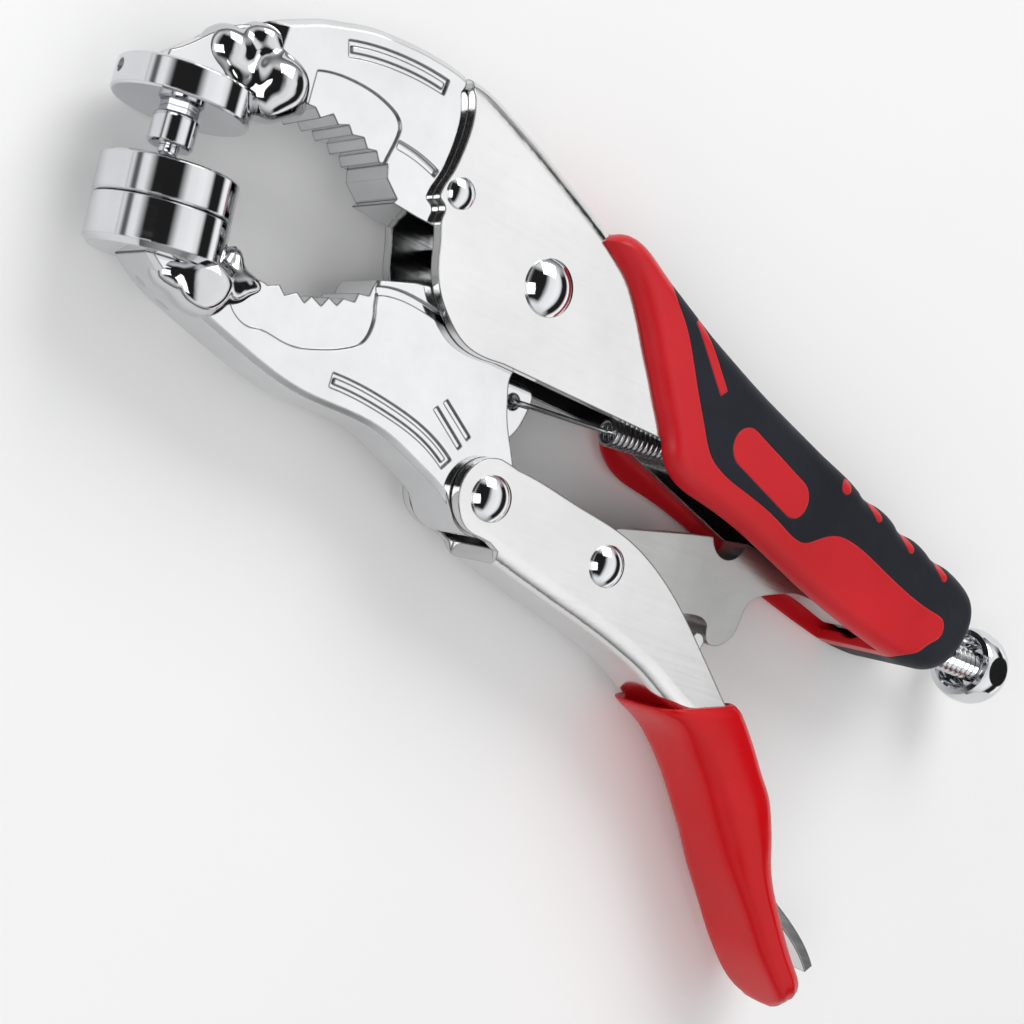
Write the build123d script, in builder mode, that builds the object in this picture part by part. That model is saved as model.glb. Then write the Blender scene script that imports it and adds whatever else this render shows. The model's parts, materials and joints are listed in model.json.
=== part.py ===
from build123d import *
import os
from math import sin, cos, radians, hypot, atan2, degrees, pi

os.makedirs("parts", exist_ok=True)

# ---------------------------------------------------------------------------
# Snap setter pliers, millimetres.  The tool lies on its side: the plate normal
# is +Z, the long fixed handle runs along +X and the moving lever hangs in -Y.
# Profiles are written from the main pivot; AX, AY, ZM place that pivot.
# ---------------------------------------------------------------------------
AX, AY, ZM = -38.9, 41.85, 11.0       # main pivot in the part frame (mid plane at ZM)

JAW_T = 12.0          # forged jaw thickness
SHEET = 2.0           # sheet of the handle channel and of the lever
CH_IN = 6.0           # half inner width of the handle channel
CH_OUT = CH_IN + SHEET
LJ_T = 5.8            # half thickness of the lower jaw
LV_IN = 6.1           # half inner width of the lever channel
LV_OUT = LV_IN + SHEET
LINK_T = 3.0          # half thickness of the toggle link
GRIP_T = 11.0         # half width of the handle grip
DISC_R = 10.0         # anvil disc radius

A = (0.0, 0.0)        # main pivot
B = (1.6, -35.6)      # lever pivot
C = (29.3, -39.0)     # link pivot
D = (99.0, -29.2)     # free end of the link
S = (-21.5, 6.9)      # front jaw rivet
E = (4.7, -18.3)      # spring eye
SP = (60.0, -12.6)    # spring anchor pin
RP = (72.0, -62.3)    # release lever pin
SCREW_Y = -29.4       # adjusting screw axis

U1 = (0.062, -0.998)  # punch axis, pointing down
U2 = (0.112, -0.9937) # die axis, pointing down
C1 = (-65.45, 0.35)   # centre of the upper disc's lower face
C2 = (-63.75, -7.95)  # centre of the die's upper rim


def pl(z=0.0):
    """Sketch plane with the main pivot as its origin, z from the mid plane."""
    return Plane((AX, AY, ZM + z))


def axis_plane(c, u, along=0.0):
    """Plane square to the axis u (x,y) through c, its normal along u."""
    return Plane(origin=(AX + c[0] + u[0] * along, AY + c[1] + u[1] * along, ZM),
                 x_dir=(0, 0, 1), z_dir=(u[0], u[1], 0))


def screw_plane(x):
    """Plane square to the adjusting screw at x, its normal outwards (+X)."""
    return Plane(origin=(AX + x, AY + SCREW_Y, ZM), x_dir=(0, 1, 0), z_dir=(1, 0, 0))


def save(p, name):
    p.part.label = name
    export_step(p.part, "parts/%s.step" % name)


def ease(ctx, edges, sizes, kind=fillet):
    """Round or chamfer edges with the first size of the list that the shape allows."""
    for r in sizes:
        try:
            if kind is fillet:
                fillet(edges, radius=r)
            else:
                chamfer(edges, length=r)
            return r
        except ValueError:
            pass
    print("no edge size worked", sizes)
    return 0.0


def along(u, d, c):
    return (c[0] + u[0] * d, c[1] + u[1] * d)


# ------------------------------------------------------------------ upper jaw
upper_top = [(-61.6, 14.6), (-57.7, 17.7), (-54.8, 19.3), (-51.8, 20.9), (-48.7, 22.1), (-45.4, 23.3), (-42.0, 24.2),
             (-38.4, 24.7), (-34.7, 25.1), (-30.8, 25.2), (-27.7, 25.1), (-25.6, 24.8)]
upper_teeth = [(-51.6, 8.2), (-48.3, 8.6), (-47.0, 7.5), (-45.2, 9.0), (-43.9, 7.9), (-42.2, 8.7), (-41.2, 7.6), (-39.2, 8.1),
               (-38.1, 6.8), (-36.5, 7.2), (-35.5, 5.8), (-34.2, 6.1), (-33.6, 4.1), (-30.8, 1.9), (-31.3, 1.1),
               (-26.5, 0.85), (-14.6, 0.85)]
with BuildPart() as upper_jaw:
    with BuildSketch(pl(-JAW_T / 2)) as uj_s:
        with BuildLine():
            Spline(*upper_top)
            Polyline(upper_top[-1], (-25.3, 22.4), (-22.0, 20.9), (-8.5, 17.3), (3.2, 13.3), (7.6, 11.6), (8.4, 9.4))
            ThreePointArc((8.4, 9.4), (-5.0, 11.6), (-11.8, 4.4))
            Polyline((-11.8, 4.4), upper_teeth[-1])
            Polyline(*upper_teeth)
            Spline(upper_teeth[0], (-54.0, 7.0), (-56.6, 5.4))
            Polyline((-56.6, 5.4), (-58.6, 5.0), (-61.6, 14.6))
        make_face()
    extrude(amount=JAW_T)
    top_edges = upper_jaw.edges().filter_by(GeomType.BSPLINE).filter_by(lambda e: e.length > 30)
    chamfer(top_edges, length=1.0)
    # the end of the plate tapers to the boss
    for s in (1, -1):
        with BuildSketch(Plane(origin=(AX, AY + 3.0, ZM), x_dir=(1, 0, 0), z_dir=(0, 1, 0))):
            with BuildLine():
                Polyline((-64.0, -s * 4.8), (-59.8, -s * 4.8), (-56.2, -s * 6.01), (-56.2, -s * 7.5), (-64.0, -s * 7.5), (-64.0, -s * 4.8))
            make_face()
        extrude(amount=16.0, mode=Mode.SUBTRACT)
    # boss over the disc
    with BuildSketch(pl(-4.8)):
        with BuildLine():
            Polyline((-56.0, 5.2), (-71.6, 4.2), (-71.4, 6.2))
            Spline((-71.4, 6.2), (-69.3, 8.0), (-67.0, 10.6), (-64.4, 13.2), (-60.6, 15.3))
            Polyline((-60.6, 15.3), (-56.0, 14.0), (-56.0, 5.2))
        make_face()
    extrude(amount=9.6)
    boss_edges = upper_jaw.edges().filter_by(GeomType.BSPLINE).filter_by(lambda e: 8 < e.length < 20 and e.center().X < AX - 60)
    ease(upper_jaw, boss_edges, (1.6, 1.2, 0.8, 0.5))
    # hollow between the boss and the knuckle
    with Locations((AX - 58.9, AY + 9.4, ZM + 8.2), (AX - 58.9, AY + 9.4, ZM - 8.2)):
        Sphere(radius=4.3, mode=Mode.SUBTRACT)
    # rounded knuckle between the disc and the toothed part
    with Locations((AX - 54.2, AY + 9.0, ZM + 3.6), (AX - 54.2, AY + 9.0, ZM - 3.6)):
        Sphere(radius=4.6)
    with Locations((AX - 55.4, AY + 7.6, ZM + 3.4), (AX - 55.4, AY + 7.6, ZM - 3.4)):
        Sphere(radius=3.9)
    with BuildSketch(pl(-3.4)):
        with Locations((-54.4, 8.6)):
            Circle(4.3)
    extrude(amount=6.8)
    # seat on the disc
    with BuildSketch(axis_plane(C1, U1, -4.7)):
        Circle(DISC_R)
    extrude(amount=9.0, mode=Mode.SUBTRACT)
    # lowered tooth pad and long oval panel on both faces
    for s in (1, -1):
        with BuildSketch(pl(s * JAW_T / 2)):
            with BuildLine():
                Spline((-50.0, 13.6), (-46.8, 14.6), (-43.2, 15.0), (-39.7, 14.9), (-37.2, 14.4), (-34.8, 13.3), (-33.9, 11.8))
                Spline((-33.9, 11.8), (-34.0, 10.0), (-34.6, 6.6), (-34.5, 3.4))
                Polyline((-34.5, 3.4), (-49.4, 3.4), (-50.0, 13.6))
            make_face()
        extrude(amount=-s * 0.45, mode=Mode.SUBTRACT)
        with BuildSketch(pl(s * JAW_T / 2)):
            with BuildLine() as ov:
                Spline((-46.4, 18.9), (-42.1, 20.2), (-37.7, 21.0), (-33.0, 21.4), (-28.6, 21.35))
            trace(line_width=2.5)
        extrude(amount=-s * 0.5, mode=Mode.SUBTRACT)
        with BuildSketch(pl(s * (JAW_T / 2 - 0.5))):
            with BuildLine():
                Spline((-45.8, 19.1), (-42.1, 20.2), (-37.7, 21.0), (-33.0, 21.4), (-29.2, 21.35))
            trace(line_width=1.0)
        extrude(amount=s * 0.4)
        # cross groove behind the teeth
        with BuildSketch(pl(s * JAW_T / 2)):
            with BuildLine():
                Spline((-33.6, 9.6), (-30.0, 9.4), (-25.6, 8.4))
            trace(line_width=1.3)
        extrude(amount=-s * 0.8, mode=Mode.SUBTRACT)
    # rivet hole
    with BuildSketch(pl(-JAW_T)):
        with Locations(S):
            Circle(2.0)
    extrude(amount=2 * JAW_T, mode=Mode.SUBTRACT)
save(upper_jaw, "upper_jaw")

# -------------------------------------------------- upper disc, punch and screw
with BuildPart() as upper_anvil_disc:
    with BuildSketch(axis_plane(C1, U1, -4.7)):
        Circle(DISC_R)
    extrude(amount=4.7)
    chamfer(upper_anvil_disc.edges().filter_by(GeomType.CIRCLE), length=0.35)
    with BuildSketch(axis_plane(C1, U1, -3.4)):
        Circle(2.2)
    extrude(amount=3.4, mode=Mode.SUBTRACT)
    # threaded cross hole for the set screw, in the outer end of the disc
    with BuildSketch(Plane(origin=(AX + C1[0] - 11.0, AY + C1[1] + 2.0, ZM), x_dir=(0, 0, 1), z_dir=(0.998, 0.062, 0))):
        Circle(1.0)
    extrude(amount=9.2, mode=Mode.SUBTRACT)
save(upper_anvil_disc, "upper_anvil_disc")

with BuildPart() as punch:
    with BuildSketch(axis_plane(C1, U1, -3.3)):
        Circle(2.15)
    extrude(amount=3.3)
    with BuildSketch(axis_plane(C1, U1, 0.0)):
        RegularPolygon(radius=2.45, side_count=6, major_radius=False)
    extrude(amount=0.9)
    with BuildSketch(axis_plane(C1, U1, 0.9)):
        Circle(3.33)
    extrude(amount=4.6)
    ease(punch, punch.edges().filter_by(GeomType.CIRCLE).filter_by(lambda e: abs(e.radius - 3.33) < 0.01), (0.35, 0.2), chamfer)
    with BuildSketch(axis_plane(C1, U1, 5.5)):
        Circle(1.5)
    extrude(amount=1.3)
    ease(punch, punch.edges().filter_by(GeomType.CIRCLE).sort_by(Axis.Y)[0], (0.6, 0.4, 0.2))
save(punch, "punch")

with BuildPart() as punch_set_screw:
    with BuildSketch(Plane(origin=(AX + C1[0] - 9.7, AY + C1[1] + 2.08, ZM), x_dir=(0, 0, 1), z_dir=(0.998, 0.062, 0))):
        Circle(1.0)
        RegularPolygon(radius=0.45, side_count=6, mode=Mode.SUBTRACT)
    extrude(amount=2.0)
    with BuildSketch(Plane(origin=(AX + C1[0] - 7.704, AY + C1[1] + 2.204, ZM), x_dir=(0, 0, 1), z_dir=(0.998, 0.062, 0))):
        Circle(1.0)
    extrude(amount=5.4)
save(punch_set_screw, "punch_set_screw")

# ------------------------------------------------------------------ lower stack
DIE_H, BASE_H, GAP = 5.75, 6.9, 0.25
with BuildPart() as snap_die:
    with BuildSketch(axis_plane(C2, U2, 0.0)):
        Circle(DISC_R)
    extrude(amount=DIE_H)
    chamfer(snap_die.edges().filter_by(GeomType.CIRCLE), length=0.3)
    with BuildSketch(axis_plane(C2, U2, 0.0)):
        Circle(7.6)
    extrude(amount=1.6, mode=Mode.SUBTRACT)
    with BuildSketch(axis_plane(C2, U2, DIE_H - 2.6)):
        Circle(2.0)
    extrude(amount=2.6, mode=Mode.SUBTRACT)
save(snap_die, "snap_die")

with BuildPart() as die_stud:
    with BuildSketch(axis_plane(C2, U2, DIE_H - 2.5)):
        Circle(1.97)
    extrude(amount=2.5 + GAP + 4.0)
save(die_stud, "die_stud")

with BuildPart() as lower_anvil_base:
    with BuildSketch(axis_plane(C2, U2, DIE_H + GAP)):
        Circle(DISC_R)
    extrude(amount=BASE_H)
    chamfer(lower_anvil_base.faces().sort_by(Axis.Y)[0].edges(), length=0.9)
    with BuildSketch(axis_plane(C2, U2, DIE_H)):
        Circle(6.0)
    extrude(amount=GAP)
    with BuildSketch(axis_plane(C2, U2, DIE_H)):
        Circle(2.0)
    extrude(amount=GAP + 4.2, mode=Mode.SUBTRACT)
save(lower_anvil_base, "lower_anvil_base")

# ------------------------------------------------------------------ lower jaw
bt = along(U2, DIE_H + GAP + BASE_H, C2)          # centre of the base's lower face
bd = (-U2[1], U2[0])                              # direction along that face
def on_base(t):
    return (bt[0] + bd[0] * t, bt[1] + bd[1] * t)
low_bottom = [on_base(-3.4), (-63.4, -22.9), (-61.2, -24.2), (-58.4, -25.4), (-54.7, -26.6), (-50.9, -27.8), (-46.9, -29.0), (-43.0, -30.1), (-39.0, -31.0), (-35.1, -31.5),
              (-29.4, -31.6), (-23.6, -31.8), (-19.5, -32.5), (-15.2, -33.9), (-10.4, -35.7), (-6.6, -37.3), (-4.2, -38.8)]
low_teeth = [(-52.6, -18.6), (-47.2, -18.2), (-46.4, -18.4), (-44.6, -17.6), (-43.3, -18.7), (-41.5, -17.5), (-39.9, -18.5), (-39.1, -17.1),
             (-37.1, -17.9), (-36.3, -16.2), (-34.6, -16.8), (-33.9, -15.4), (-31.9, -15.2), (-31.7, -13.7), (-29.8, -13.4),
             (-29.7, -12.0), (-29.3, -10.6), (-22.7, -8.4), (-12.0, -6.4)]
with BuildPart() as lower_jaw:
    with BuildSketch(pl(-LJ_T)):
        with BuildLine():
            Polyline(on_base(7.6), low_teeth[0])
            Polyline(*low_teeth)
            Spline(low_teeth[-1], (-9.0, -5.0), (-8.2, -1.6), tangents=[(1, 0.25), (0.25, 1)])
            ThreePointArc((-8.2, -1.6), (0.0, 8.355), (8.2, -1.6))
            Spline((8.2, -1.6), (6.6, -7.0), (0.6, -13.4), (-0.4, -15.8), (0.2, -18.5), (1.6, -22.3), (3.6, -25.8), (6.6, -31.2))
            ThreePointArc((6.6, -31.2), (5.6, -41.0), (-2.6, -40.8))
            Line((-2.6, -40.8), low_bottom[-1])
            Spline(*low_bottom[::-1])
            Polyline(on_base(-3.4), on_base(7.6))
        make_face()
    extrude(amount=2 * LJ_T)
    edge = lower_jaw.edges().filter_by(GeomType.BSPLINE).filter_by(lambda e: e.length > 40)
    ease(lower_jaw, edge, (0.8, 0.6, 0.4), chamfer)
    # spring tab
    with BuildSketch(pl(-1.5)):
        with BuildLine():
            Polyline((-4.0, -14.6), (6.4, -14.9))
            Spline((6.4, -14.9), (8.3, -16.4), (8.2, -18.6), (7.4, -22.0), (5.2, -25.1))
            Polyline((5.2, -25.1), (3.0, -26.0), (-4.0, -22.0), (-4.0, -14.6))
        make_face()
    extrude(amount=3.0)
    with BuildSketch(pl(-1.5)):
        with Locations(E):
            Circle(1.4)
    extrude(amount=3.0, mode=Mode.SUBTRACT)
    # knuckle next to the base
    with Locations((AX - 55.2, AY - 21.6, ZM + 3.1), (AX - 55.2, AY - 21.6, ZM - 3.1)):
        Sphere(radius=4.6)
    # cut flush with the base
    with BuildSketch(axis_plane(C2, U2, DIE_H + GAP + BASE_H)):
        Circle(DISC_R + 2)
    extrude(amount=-7.0, mode=Mode.SUBTRACT)
    # gusset beside the base
    with BuildSketch(pl(-4.2)):
        with BuildLine():
            Spline((-52.5, -14.9), (-51.4, -15.9), (-49.6, -17.4), (-47.0, -18.6))
            Polyline((-47.0, -18.6), (-47.4, -21.5), (-52.3, -21.5), (-51.95, -19.6), (-52.5, -14.9))
        make_face()
    extrude(amount=8.4)
    for s in (1, -1):
        # tooth pad
        with BuildSketch(pl(s * LJ_T)):
            with BuildLine():
                Spline((-50.6, -17.0), (-50.2, -24.2), (-47.4, -25.2), (-45.3, -24.9), (-42.0, -25.2), (-38.5, -25.1), (-36.0, -24.4),
                       (-32.8, -23.2), (-30.5, -22.0), (-28.7, -20.6), (-27.9, -18.6), (-28.4, -14.6))
                Polyline((-28.4, -14.6), (-29.4, -9.0), (-50.6, -9.0), (-50.6, -17.0))
            make_face()
        extrude(amount=-s * 0.45, mode=Mode.SUBTRACT)
        # rear slot behind the teeth
        with BuildSketch(pl(s * LJ_T)):
            with BuildLine():
                Spline((-28.9, -12.2), (-24.0, -11.2), (-18.0, -11.6), (-14.0, -12.0))
            trace(line_width=1.4)
        extrude(amount=-s * 0.8, mode=Mode.SUBTRACT)
        # long raised bar framed by a groove, and two short bars
        with BuildSketch(pl(s * LJ_T)):
            with BuildLine():
                Spline((-31.8, -27.6), (-26.6, -27.7), (-20.6, -28.4), (-14.0, -29.8), (-7.2, -32.9))
            trace(line_width=2.3)
        extrude(amount=-s * 0.5, mode=Mode.SUBTRACT)
        with BuildSketch(pl(s * (LJ_T - 0.5))):
            with BuildLine():
                Spline((-31.2, -27.6), (-26.6, -27.7), (-20.6, -28.4), (-14.0, -29.8), (-7.9, -32.5))
            trace(line_width=0.9)
        extrude(amount=s * 0.4)
        with BuildSketch(pl(s * LJ_T)):
            with BuildLine():
                Line((-12.4, -25.2), (-5.7, -29.6))
            trace(line_width=0.9)
            with BuildLine():
                Line((-11.0, -23.6), (-4.6, -27.7))
            trace(line_width=0.9)
        extrude(amount=-s * 0.45, mode=Mode.SUBTRACT)
    # dimple at the knuckle
    with Locations((AX - 55.6, AY - 21.8, ZM + 8.6), (AX - 55.6, AY - 21.8, ZM - 8.6)):
        Sphere(radius=1.9, mode=Mode.SUBTRACT)
    with BuildSketch(pl(-JAW_T)):
        Circle(3.56)
        with Locations(B):
            Circle(2.86)
    extrude(amount=2 * JAW_T, mode=Mode.SUBTRACT)
save(lower_jaw, "lower_jaw")

# ------------------------------------------------------- handle channel (sheet)
# outer side profile of the folded sheet, spine on top, open at the bottom
spine = [(-24.7, 24.9), (-21.4, 24.8), (-18.4, 24.1), (-13.5, 22.6), (-8.5, 21.0), (-3.2, 19.1), (2.2, 17.1), (7.8, 14.9), (16.0, 11.4),
         (30.0, 5.6), (50.0, -1.2), (70.0, -7.0), (90.0, -12.6), (108.0, -17.4), (121.5, -20.6)]
front = [(-24.9, 22.6), (-23.7, 19.8), (-23.3, 15.0), (-23.6, 11.5), (-23.9, 9.7), (-24.5, 7.8), (-25.0, 5.7),
         (-24.9, 4.8), (-23.9, 4.2), (-23.3, 3.4), (-23.4, 2.2), (-22.7, -0.5), (-21.9, -3.5), (-21.2, -5.7), (-20.2, -7.7), (-19.0, -9.4),
         (-17.0, -11.4), (-14.7, -13.2), (-12.1, -14.5), (-9.4, -15.0), (-6.8, -15.0)]
with BuildPart() as handle_channel:
    with BuildSketch(pl(-CH_OUT)):
        with BuildLine():
            Spline(*spine)
            Polyline((121.5, -20.6), (121.5, -33.2), (112.0, -32.8), (95.0, -29.8), (75.0, -26.2), (57.0, -21.4),
                     (40.0, -16.8), (34.8, -14.7), (-4.0, -14.7), (-6.8, -15.0))
            Spline(*front)
            Line(front[0], spine[0])
        make_face()
    extrude(amount=2 * CH_OUT)
    ease(handle_channel, handle_channel.edges().filter_by(GeomType.BSPLINE).filter_by(lambda e: e.length > 130), (3.6, 3.0, 2.0, 1.0))
    with BuildSketch(pl(-CH_IN)):
        with BuildLine():
            Spline((-30.0, 24.6), (-21.8, 22.4), (-18.9, 22.0), (-14.0, 20.55), (-9.1, 18.95), (-3.8, 17.05), (1.5, 15.1), (7.1, 12.9), (15.2, 9.45),
                   (29.3, 3.65), (49.4, -3.15), (69.4, -8.95), (89.4, -14.55), (107.6, -19.4), (140.0, -26.4))
            Polyline((140.0, -26.4), (140.0, -40.0), (-30.0, -40.0), (-30.0, 24.6))
        make_face()
    extrude(amount=2 * CH_IN, mode=Mode.SUBTRACT)
    with BuildSketch(pl(-CH_OUT - 1)):
        Circle(3.5)
        with Locations(S):
            Circle(2.0)
        with Locations(SP):
            Circle(1.5)
    extrude(amount=2 * CH_OUT + 2, mode=Mode.SUBTRACT)
save(handle_channel, "handle_channel")


def rivet(c, r_shank, half, r_head, h_head):
    """Domed rivet: shank through both sheets and two round heads."""
    e = 0.35
    R = (r_head ** 2 + h_head ** 2) / (2 * h_head)      # ball radius, its centre on the rivet's axis
    am = atan2(r_head, R - h_head) / 2
    mx, mz = R * sin(am), half + e + h_head - R + R * cos(am)
    with BuildPart() as rv:
        with BuildSketch(Plane(origin=(AX + c[0], AY + c[1], ZM), x_dir=(1, 0, 0), z_dir=(0, -1, 0))):
            with BuildLine():
                Line((0, -half - e - h_head), (0, half + e + h_head))
                ThreePointArc((0, half + e + h_head), (mx, mz), (r_head, half + e))
                Polyline((r_head, half + e), (r_head, half), (r_shank, half), (r_shank, -half), (r_head, -half), (r_head, -half - e))
                ThreePointArc((r_head, -half - e), (mx, -mz), (0, -half - e - h_head))
            make_face()
        revolve(axis=Axis((AX + c[0], AY + c[1], ZM), (0, 0, 1)), revolution_arc=360)
    return rv


front_jaw_rivet = rivet(S, 2.0, CH_OUT, 2.5, 0.9)
save(front_jaw_rivet, "front_jaw_rivet")
main_pivot_rivet = rivet(A, 3.5, CH_OUT, 4.8, 2.0)
save(main_pivot_rivet, "main_pivot_rivet")
lever_pivot_rivet = rivet(B, 2.8, LV_OUT, 3.85, 1.6)
save(lever_pivot_rivet, "lever_pivot_rivet")
link_pivot_rivet = rivet(C, 2.5, LV_OUT, 3.7, 1.6)
save(link_pivot_rivet, "link_pivot_rivet")

# ------------------------------------------------------------------ lever
lv_top = [(5.1, -29.6), (12.0, -30.2), (19.4, -31.3), (26.8, -32.2), (33.5, -33.6), (38.0, -35.2), (42.8, -37.5), (48.1, -40.7),
          (51.9, -43.4), (55.7, -46.3), (59.6, -49.3), (63.9, -52.7), (68.4, -56.2), (73.0, -60.0), (79.6, -65.8), (84.6, -70.6),
          (88.4, -77.0), (92.0, -84.6), (97.0, -91.2), (103.0, -98.0), (107.6, -102.6)]
lv_bot = [(106.0, -105.4), (101.8, -102.2), (96.6, -97.6), (91.0, -92.0), (84.0, -84.6), (76.6, -76.6), (71.4, -71.0), (66.6, -66.4),
          (61.8, -62.4), (57.0, -59.6), (53.0, -57.9), (47.0, -55.2), (41.1, -53.2), (32.6, -50.9), (24.6, -49.1), (16.0, -47.2), (7.4, -45.2)]
lv_in = [(7.2, -42.7), (10.4, -43.8), (16.5, -45.25), (25.0, -47.15), (33.1, -48.95), (41.7, -51.25), (47.8, -53.35), (53.9, -56.1), (58.0, -57.85),
         (63.0, -60.7), (68.0, -64.9), (72.8, -69.6), (78.0, -75.2), (85.4, -83.2), (92.4, -90.5), (98.0, -96.1), (103.2, -100.6), (109.6, -106.2)]
with BuildPart() as lever_channel:
    with BuildSketch(pl(-LV_OUT)):
        with BuildLine():
            Spline(*lv_top)
            Polyline(lv_top[-1], (108.8, -104.0), lv_bot[0])
            Spline(*lv_bot)
            Polyline(lv_bot[-1], (6.3, -43.2), (4.2, -42.3), (1.8, -42.0))
            ThreePointArc((1.8, -42.0), (-4.9, -35.8), (1.3, -29.0))
            Spline((1.3, -29.0), (3.2, -29.25), (5.1, -29.6))
        make_face()
    extrude(amount=2 * LV_OUT)
    ease(lever_channel, lever_channel.edges().filter_by(GeomType.BSPLINE).filter_by(lambda e: e.length > 100).sort_by(Axis.Y)[0:2], (3.2, 2.6, 2.0, 1.4, 0.8))
    with BuildSketch(pl(-LV_IN)):
        with BuildLine():
            Spline(*lv_in)
            Polyline((109.6, -106.2), (140.0, -106.0), (140.0, 0.0), (-20.0, 0.0), (-20.0, -60.0), (7.2, -60.0), lv_in[0])
        make_face()
    extrude(amount=2 * LV_IN, mode=Mode.SUBTRACT)
    with BuildSketch(pl(-LV_OUT - 1)):
        with Locations(B):
            Circle(2.8)
        with Locations(C):
            Circle(2.5)
        with Locations(RP):
            Circle(1.5)
    extrude(amount=2 * LV_OUT + 2, mode=Mode.SUBTRACT)
save(lever_channel, "lever_channel")

# dipped sleeve: closed round the far end, open along the lever's mouth
sl_top = [(70.6, -54.4), (73.6, -56.6), (77.8, -60.5), (81.9, -64.8), (86.4, -69.4), (89.9, -76.0), (93.1, -83.6), (98.1, -90.4), (103.9, -97.0),
          (108.9, -102.0), (111.2, -105.0)]
sl_end = [(111.2, -105.0), (111.9, -107.3), (110.2, -108.7), (107.4, -108.2)]
sl_bot = [(107.4, -108.2), (102.4, -104.0), (96.6, -99.0), (90.7, -92.9), (83.3, -85.5), (75.8, -77.5), (70.5, -71.7), (65.6, -67.2), (61.1, -63.7),
          (57.2, -61.7), (53.6, -60.5), (51.6, -59.9)]
SL_T = 9.4
with BuildPart() as lever_sleeve:
    with BuildSketch(pl(-SL_T)):
        with BuildLine():
            Spline(*sl_top)
            Spline(*sl_end)
            Spline(*sl_bot)
            Spline((51.6, -59.9), (51.9, -58.3), (54.2, -58.6), (60.0, -57.9), (66.0, -56.5), (70.6, -54.4))
        make_face()
    extrude(amount=2 * SL_T)
    ease(lever_sleeve, lever_sleeve.edges().filter_by(GeomType.BSPLINE).filter_by(lambda e: e.length > 60), (1.2, 0.8, 0.5))
    with BuildSketch(pl(-LV_OUT)):
        with BuildLine():
            Spline(*lv_top[8:])
            Polyline(lv_top[-1], (108.8, -104.0), lv_bot[0])
            Spline(*lv_bot[:12])
            Polyline(lv_bot[11], (45.0, -50.0), lv_top[8])
        make_face()
    extrude(amount=2 * LV_OUT, mode=Mode.SUBTRACT)
    # mouth along the top, where the release lever sits
    with BuildSketch(pl(-LV_IN)):
        with BuildLine():
            Polyline((60.0, -50.0), (60.0, -58.0), (82.0, -78.0), (103.6, -99.4), (106.5, -102.4), (125.0, -90.0), (90.0, -40.0), (60.0, -50.0))
        make_face()
    extrude(amount=2 * LV_IN, mode=Mode.SUBTRACT)
save(lever_sleeve, "lever_sleeve")

with BuildPart() as release_pin:
    with BuildSketch(pl(-LV_OUT)):
        with Locations(RP):
            Circle(1.5)
    extrude(amount=2 * LV_OUT)
save(release_pin, "release_pin")

# ------------------------------------------------------------------ toggle link
with BuildPart() as toggle_link:
    with BuildSketch(pl(-LINK_T)):
        with BuildLine():
            Polyline((30.6, -33.2), (34.1, -31.4), (50.6, -27.4), (56.6, -26.1))
            ThreePointArc((56.6, -26.1), (61.0, -29.2), (65.3, -24.9))
            Polyline((65.3, -24.9), (76.0, -25.3), (99.0, -26.2))
            ThreePointArc((99.0, -26.2), (102.0, -29.2), (99.0, -32.2))
            Spline((99.0, -32.2), (93.1, -31.0), (86.0, -29.9), (80.6, -30.4), (75.4, -32.1), (71.7, -33.9), (70.2, -35.6), (69.6, -37.9), (69.3, -40.5),
                   (68.2, -42.8), (65.6, -44.8), (63.2, -45.0), (62.0, -43.8), (61.4, -41.8), (59.6, -40.9), (56.0, -41.2), (46.0, -43.2), (30.6, -44.9))
            ThreePointArc((30.6, -44.9), (23.3, -39.0), (30.6, -33.2))
        make_face()
    extrude(amount=2 * LINK_T)
    with BuildSketch(pl(-LINK_T - 1)):
        with Locations(C):
            Circle(2.56)
    extrude(amount=2 * LINK_T + 2, mode=Mode.SUBTRACT)
save(toggle_link, "toggle_link")

# ------------------------------------------------------------------ release lever
rl = [(58.2, -45.4), (59.4, -49.6), (62.6, -54.2), (67.0, -58.6), (72.0, -62.3), (78.6, -67.6), (84.4, -74.0), (89.4, -81.2), (94.4, -86.6),
      (100.0, -89.9), (106.0, -93.2), (111.0, -96.6), (114.2, -99.6)]
RL_T = 5.2
with BuildPart() as release_lever:
    with BuildSketch(pl(-RL_T)):
        with BuildLine():
            Spline(*rl)
        trace(line_width=2.2)
        with Locations(rl[0]):
            Circle(1.5)
        with Locations(RP):
            Circle(2.9)
    extrude(amount=2 * RL_T)
    with BuildSketch(pl(-RL_T - 1)):
        with Locations(RP):
            Circle(1.56)
    extrude(amount=2 * RL_T + 2, mode=Mode.SUBTRACT)
save(release_lever, "release_lever")

# ------------------------------------------------------------------ spring
with BuildPart() as tension_spring:
    with BuildSketch(Plane(origin=(AX + 27.0, AY - 14.9, ZM), x_dir=(0, 0, 1), z_dir=(0.998, 0.06, 0))):
        Circle(2.6)
        Circle(1.6, mode=Mode.SUBTRACT)
    extrude(amount=27.0)
save(tension_spring, "tension_spring")

with BuildPart() as spring_anchor_pin:
    with BuildSketch(pl(-CH_OUT)):
        with Locations(SP):
            Circle(1.5)
    extrude(amount=2 * CH_OUT)
save(spring_anchor_pin, "spring_anchor_pin")

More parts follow.
